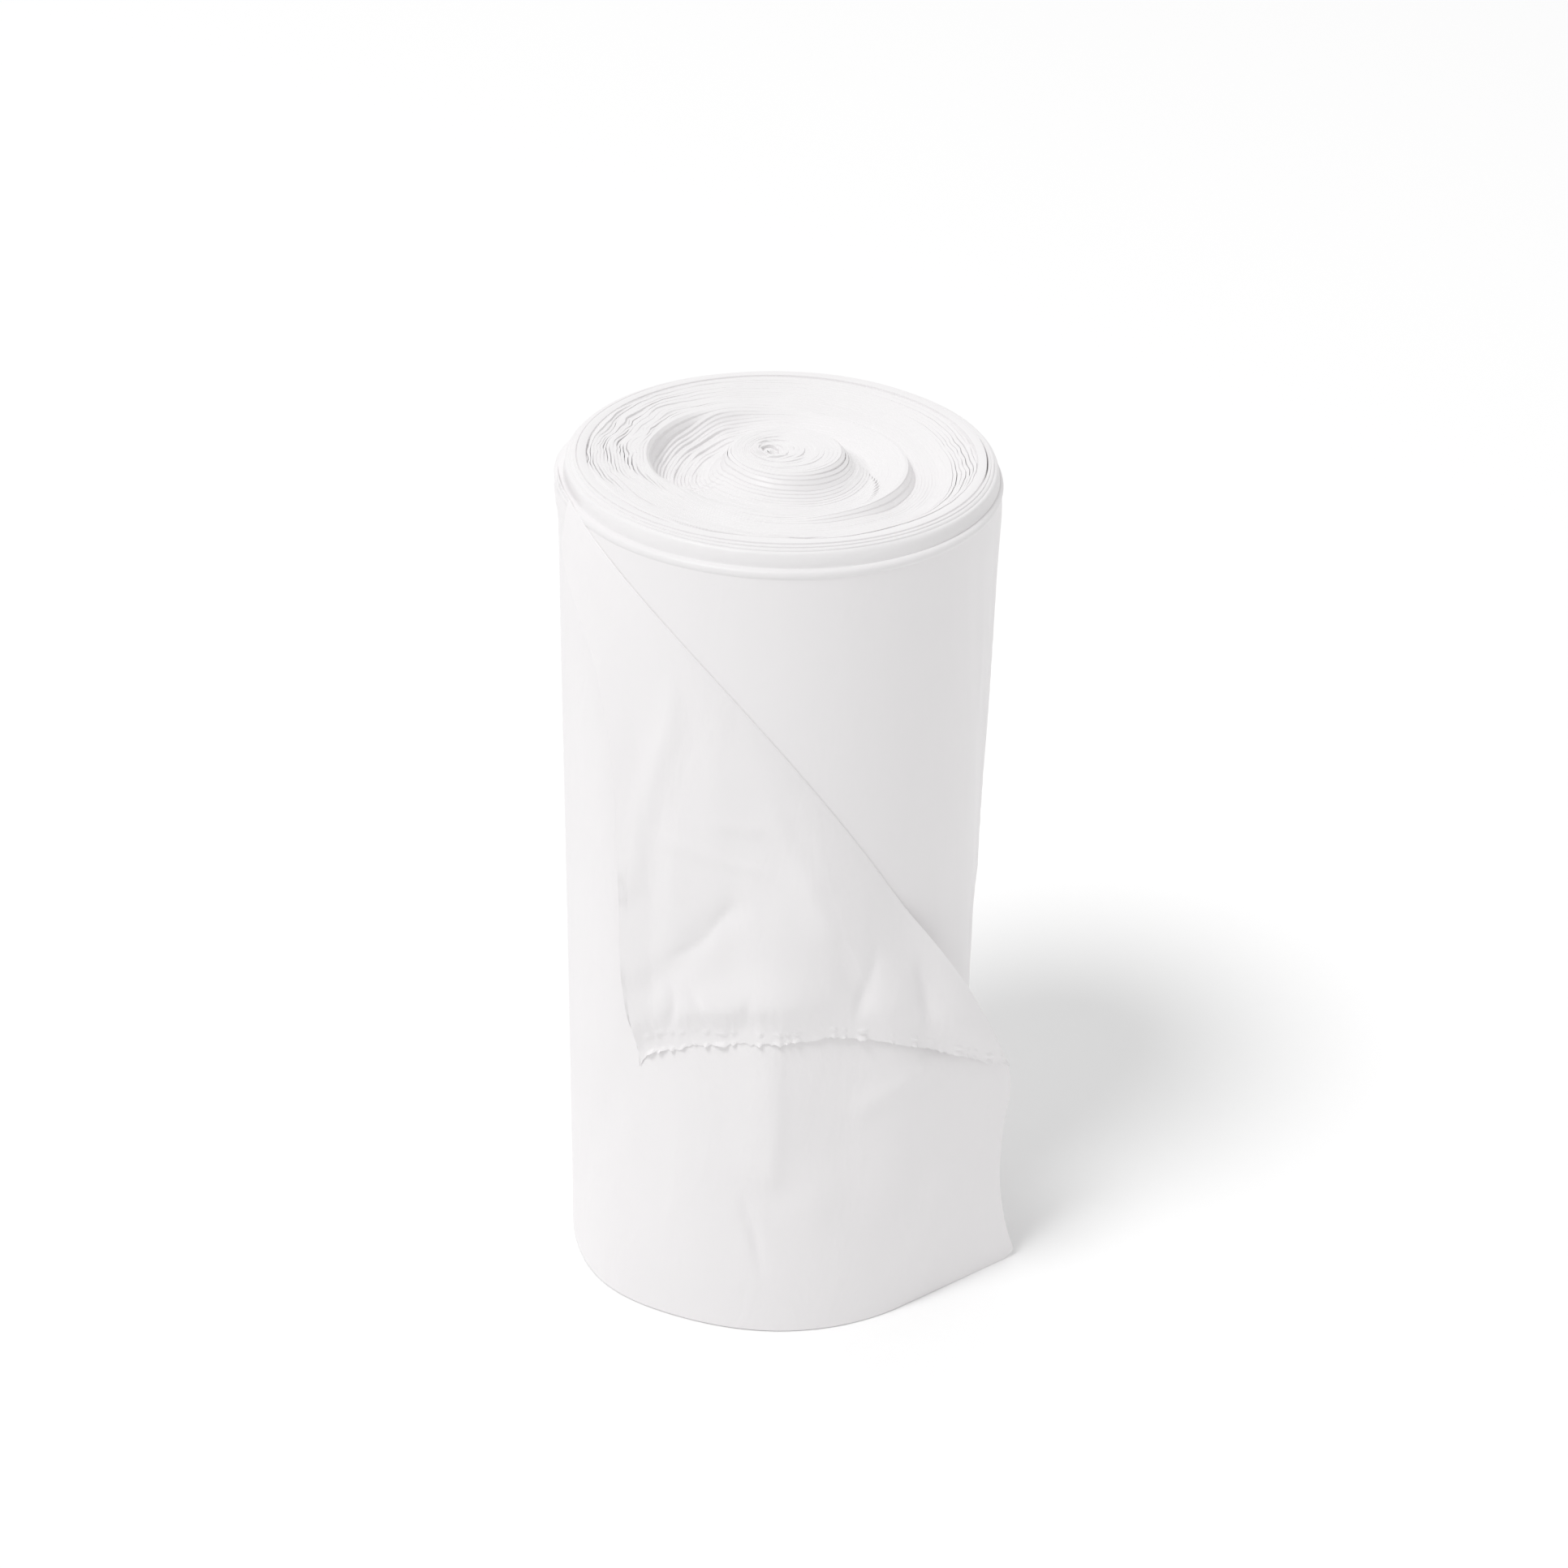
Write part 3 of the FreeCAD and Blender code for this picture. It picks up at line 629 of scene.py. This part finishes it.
# At the tear the flap lies on the web again, more loosely towards the right
left_of_wing = 1 - rise(front_x, 44.0, 57.0)
hangs_free = 0.08 + 0.2 * rise(front_x, -6.0, 18.0) * left_of_wing
flap_slack *= hangs_free + (1 - hangs_free) * rise(above_tear, 0.0, 12.0)
flap_slack += 0.3 * rise(front_x, -8.0, 24.0) * (1 - rise(above_tear, 0.0, 14.0)) * left_of_wing
# A ridge runs along the perforations above the tear, and the torn film curls out at the teeth
flecks = np.clip(2.2 * noise(front_x / 0.9, 0.5, 67), 0.0, 1.0)
perforations = [(-24.0, 5.6), (-12.7, 4.0), (2.6, 2.7), (14.8, 2.4)]
perforated = above_tear - np.interp(front_x, *zip(*perforations))
flap_slack += 0.5 * hump(perforated, 0.0, 0.5) * flecks * on_tear
flap_slack += 0.7 * (1 - rise(above_tear, 0.0, 1.3)) * flecks * on_tear
# Slack of the web: gentle waves, some creases, a swelling in the middle and a dent on its right
web_slack = 0.9 * noise(sheet_runs / 24.0, levels / 55.0, 63)
web_slack += 0.25 * noise(sheet_runs / 9.0, levels / 26.0, 64)
web_slack *= rise(sheet_runs, -wrap_length + 4.0, -wrap_length + 40.0)
web_slack -= 0.7 * np.abs(web_slack)
web_creases = [
    ((0.0, 90.0), (1.0, 44.0), 7.0, 1.1), ((-4.8, 38.5), (2.0, 19.0), 1.2, -0.6),
    ((41.0, 73.0), (22.0, 63.0), 3.0, 0.8), ((47.0, 38.0), (33.0, -2.0), 6.0, 1.0),
    ((2.2, 84.0), (3.4, 44.0), 2.5, 0.45),
]
web_slack += puff((13.0, 40.0), (7.0, 8.0), 0.9) + sum(crease(*line) for line in web_creases)
web_slack -= 1.7 * hump(front_x, 21.0, 12.0) * rise(levels, 28.0, 56.0) * (1 - rise(levels, 96.0, 116.0))
web_slack *= rise(levels, 1.0, 14.0)
wing_wave = 0.6 * rise(sheet_runs, 4.0, 36.0) * np.sin(levels / 60.0 * 2 * np.pi) * rise(levels, 2.0, 16.0)
ear = 1.3 * hump(sheet_runs, -113.0, 9.0) * hump(levels, 204.0, 8.5)
ear *= 1 - 0.8 * rise(levels, 203.0, 206.0)
# Higher up the web lies close to the wall, and the fold's crest rests on it. At the foot it has sprung away
plan_x, plan_y = wrap_point(sheet_runs, 0.0)
web_degrees = np.degrees(np.arctan2(plan_x, -plan_y)) % 360.0
crest_rests = rise(40.0 - under_fold, 0.0, 36.0) * (front_x > flap_start)
crest_rests *= 1 - rise(front_x, 30.0, 48.0)
lies_out = 0.3 - 0.25 * crest_rests
stands_off = np.maximum(np.hypot(plan_x, plan_y) - wall_radius - lies_out, 0.0)
hugging = rise(levels, 30.0, 185.0) * (1 - rise(sheet_runs, -34.0, -2.0))
hugging = np.maximum(hugging, rise(levels, 90.0, 150.0) * (1 - rise(sheet_runs, -10.0, 16.0)))
hugging = np.maximum(hugging, crest_rests)
outs -= hugging * stands_off + left_inset(web_degrees, levels)
outs += 2.2 * (1 - rise(levels, 0.0, 50.0)) * towards(web_degrees, 316.0, 19.0)
outs += web_slack * (1 - hugging) + wing_wave + ear + hanging * flap_slack
# The path of the film in each column, and its two faces half a film's thickness to either side
along_out = np.gradient(outs, axis=1)
along_up = np.gradient(levels, axis=1)
stretch = np.maximum(np.hypot(along_out, along_up), 1e-6)
face_out, face_up = along_up / stretch, -along_out / stretch
layers = []
for side in (-1.0, 1.0):
    shift = side * film_thickness / 2
    x, y = wrap_point(sheet_runs, outs + shift * face_out)
    layers.append(np.stack([x, y, np.maximum(levels + shift * face_up, 0.0)], -1))
loop = np.concatenate([layers[0], layers[1][:, ::-1]], axis=1)
loose_points = loop.reshape(-1, 3)
loose_faces = grid_faces(columns, 2 * rows, True)
for column in (0, columns - 1):
    start, stop = column * 2 * rows, (column + 1) * 2 * rows - 1
    for row in range(rows - 1):
        face = (start + row, start + row + 1, stop - row - 1, stop - row)
        loose_faces.append(face if column else tuple(reversed(face)))
film_piece("loose_end", loose_points, loose_faces, loose_film, sharp=60)

# Floor: a plain white sheet of card that the roll stands on. It isn't part of the roll.
white_card = bpy.data.materials.new("white_card")
card = Finish(white_card)
# The camera sees the card a little whiter than it lights the roll. Colours A and B are sockets 6 and 7
seen = card.node("ShaderNodeLightPath", {}, {})["Is Camera Ray"]
card_tone = card.node("ShaderNodeMix", {"data_type": "RGBA"}, {
    "Factor": seen, 6: (0.96, 0.96, 0.96, 1.0), 7: (1.0, 1.0, 1.0, 1.0)})[2]
card_surface = card.node("ShaderNodeBsdfDiffuse", {}, {"Color": card_tone})["BSDF"]
card.node("ShaderNodeOutputMaterial", {}, {"Surface": card_surface})
floor_mesh = bpy.data.meshes.new("floor")
floor_half = 6.0
floor_gap = 0.0002
floor_mesh.from_pydata([(-floor_half, -floor_half, 0.0), (floor_half, -floor_half, 0.0),
                        (floor_half, floor_half, 0.0), (-floor_half, floor_half, 0.0)], [], [(0, 1, 2, 3)])
floor_mesh.materials.append(white_card)
floor = bpy.data.objects.new("floor", floor_mesh)
floor.location.z = -floor_gap
bpy.context.collection.objects.link(floor)

# Light: a bright room that is dimmer behind the camera, and one large soft lamp high on the left.
world = bpy.data.worlds.new("bright_room")
room = Finish(world)
way = room.node("ShaderNodeTexCoord", {}, {})["Generated"]
depth = room.node("ShaderNodeSeparateXYZ", {}, {"Vector": way})["Y"]
glow = room.node("ShaderNodeBackground", {}, {"Color": (1.0, 1.0, 1.0, 1.0),
                                              "Strength": 0.67 + depth * 0.24})["Background"]
room.node("ShaderNodeOutputWorld", {}, {"Surface": glow})
bpy.context.scene.world = world
lamp_target = Vector((0.0, 0.0, 0.08))
lamp_place = Vector((-3.55, -3.04, 8.27))
lamp = bpy.data.objects.new("key_lamp", bpy.data.lights.new("key_lamp", "AREA"))
lamp.data.shape = "DISK"
lamp.data.size = 3.0
lamp.data.energy = 375.0
lamp.location = lamp_place
lamp.rotation_euler = (lamp_target - lamp_place).to_track_quat("-Z", "Y").to_euler()
bpy.context.collection.objects.link(lamp)

bpy.context.scene.view_settings.view_transform = "Standard"
